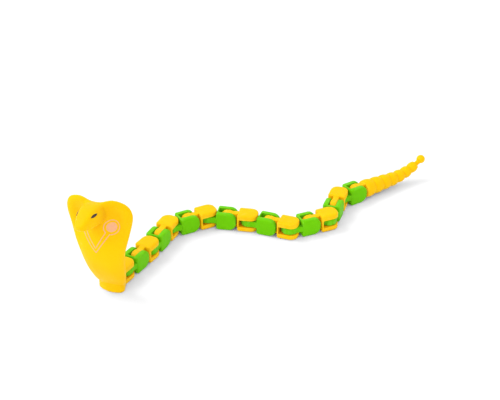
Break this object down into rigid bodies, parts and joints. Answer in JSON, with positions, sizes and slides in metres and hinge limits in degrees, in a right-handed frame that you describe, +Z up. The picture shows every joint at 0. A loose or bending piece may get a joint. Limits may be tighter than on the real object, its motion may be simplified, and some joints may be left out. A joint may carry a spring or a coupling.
{
  "type": "twisty snake puzzle",
  "caption": "Jointed toy cobra: moulded head with a wide hood, alternating green and yellow click links and a curled ribbed tail.",
  "frame": {"origin": "middle of the footprint, on the surface that the snake lies on", "axes": "+Z up; +X from the head's side to the tail's side, along the longest extent; +Y completes the right-handed frame"},
  "size_m": [0.1812, 0.135, 0.0546],
  "materials": {
    "yellow_plastic": "satin moulded plastic",
    "green_plastic": "satin moulded plastic"
  },
  "bodies": {
    "head": {"head": "yellow_plastic"},
    "green_link_1": {"green_link_1": "green_plastic"},
    "yellow_link_1": {"yellow_link_1": "yellow_plastic"},
    "green_link_2": {"green_link_2": "green_plastic"},
    "yellow_link_2": {"yellow_link_2": "yellow_plastic"},
    "green_link_3": {"green_link_3": "green_plastic"},
    "yellow_link_3": {"yellow_link_3": "yellow_plastic"},
    "green_link_4": {"green_link_4": "green_plastic"},
    "yellow_link_4": {"yellow_link_4": "yellow_plastic"},
    "green_link_5": {"green_link_5": "green_plastic"},
    "yellow_link_5": {"yellow_link_5": "yellow_plastic"},
    "green_link_6": {"green_link_6": "green_plastic"},
    "yellow_link_6": {"yellow_link_6": "yellow_plastic"},
    "green_link_7": {"green_link_7": "green_plastic"},
    "yellow_link_7": {"yellow_link_7": "yellow_plastic"},
    "green_link_8": {"green_link_8": "green_plastic"},
    "tail": {"tail": "yellow_plastic"}
  },
  "joints": [
    {"name": "swing_1", "type": "hinge", "parent": "head", "child": "green_link_1", "pos_m": [-0.06608, -0.03407, 0.00475], "axis": [0, 0, 1], "range_deg": [-90, 90]},
    {"name": "lift_1", "type": "hinge", "parent": "green_link_1", "child": "yellow_link_1", "pos_m": [-0.06058, -0.02454, 0.00475], "axis": [0.866, -0.5, 0], "range_deg": [-90, 90]},
    {"name": "swing_2", "type": "hinge", "parent": "yellow_link_1", "child": "green_link_2", "pos_m": [-0.05508, -0.01502, 0.00475], "axis": [0, 0, -1], "range_deg": [-84, 96]},
    {"name": "lift_2", "type": "hinge", "parent": "green_link_2", "child": "yellow_link_2", "pos_m": [-0.0506, -0.00497, 0.00475], "axis": [-0.9135, 0.4067, 0], "range_deg": [-90, 90]},
    {"name": "swing_3", "type": "hinge", "parent": "yellow_link_2", "child": "green_link_3", "pos_m": [-0.04613, 0.00508, 0.00475], "axis": [0, 0, 1], "range_deg": [-52, 128]},
    {"name": "lift_3", "type": "hinge", "parent": "green_link_3", "child": "yellow_link_3", "pos_m": [-0.03642, 0.01025, 0.00475], "axis": [0.4695, -0.8829, 0], "range_deg": [-90, 90]},
    {"name": "swing_4", "type": "hinge", "parent": "yellow_link_3", "child": "green_link_4", "pos_m": [-0.02671, 0.01541, 0.00475], "axis": [0, 0, -1], "range_deg": [-128, 52]},
    {"name": "lift_4", "type": "hinge", "parent": "green_link_4", "child": "yellow_link_4", "pos_m": [-0.01587, 0.0135, 0.00475], "axis": [0.1736, 0.9848, 0], "range_deg": [-90, 90]},
    {"name": "swing_5", "type": "hinge", "parent": "yellow_link_4", "child": "green_link_5", "pos_m": [-0.00504, 0.01159, 0.00475], "axis": [0, 0, 1], "range_deg": [-80, 100]},
    {"name": "lift_5", "type": "hinge", "parent": "green_link_5", "child": "yellow_link_5", "pos_m": [0.0053, 0.00783, 0.00475], "axis": [-0.342, -0.9397, 0], "range_deg": [-90, 90]},
    {"name": "swing_6", "type": "hinge", "parent": "yellow_link_5", "child": "green_link_6", "pos_m": [0.01563, 0.00407, 0.00475], "axis": [0, 0, -1], "range_deg": [-46, 134]},
    {"name": "lift_6", "type": "hinge", "parent": "green_link_6", "child": "yellow_link_6", "pos_m": [0.02568, 0.00854, 0.00475], "axis": [-0.4067, 0.9135, 0], "range_deg": [-90, 90]},
    {"name": "swing_7", "type": "hinge", "parent": "yellow_link_6", "child": "green_link_7", "pos_m": [0.03573, 0.01302, 0.00475], "axis": [0, 0, 1], "range_deg": [-139, 41]},
    {"name": "lift_7", "type": "hinge", "parent": "green_link_7", "child": "yellow_link_7", "pos_m": [0.03895, 0.02354, 0.00475], "axis": [0.9563, -0.2924, 0], "range_deg": [-90, 90]},
    {"name": "swing_8", "type": "hinge", "parent": "yellow_link_7", "child": "green_link_8", "pos_m": [0.04216, 0.03405, 0.00475], "axis": [0, 0, -1], "range_deg": [-129, 51]},
    {"name": "lift_8", "type": "hinge", "parent": "green_link_8", "child": "tail", "pos_m": [0.05128, 0.0402, 0.00475], "axis": [-0.5592, 0.829, 0], "range_deg": [-90, 90]}
  ]
}
